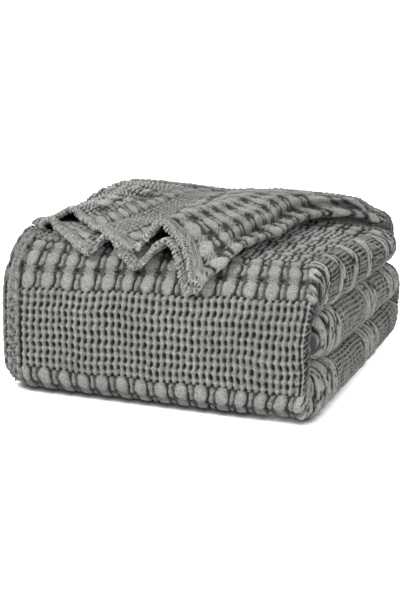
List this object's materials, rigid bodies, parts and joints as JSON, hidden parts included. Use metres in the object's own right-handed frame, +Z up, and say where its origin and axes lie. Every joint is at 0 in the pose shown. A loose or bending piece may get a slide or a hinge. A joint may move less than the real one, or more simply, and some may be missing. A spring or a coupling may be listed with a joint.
{
  "type": "folded waffle weave cotton blanket",
  "caption": "Cotton waffle blanket, folded back and forth into a soft stack with one end thrown loosely over the top; lies flat on its underside.",
  "frame": {"origin": "middle of the bounding box, on the surface the blanket lies on", "axes": "+Z up, -Y the smooth wrapped front, +X the side of the three fat rolls, +Y the side of the bends at the back"},
  "size_m": [0.3805, 0.3708, 0.2125],
  "materials": {
    "washed_cotton": "matt stonewashed waffle weave cotton, mid warm grey, honeycomb cells of fine yarn between bands of smooth oval puffs"
  },
  "bodies": {
    "root": {"blanket": "washed_cotton"}
  },
  "joints": []
}
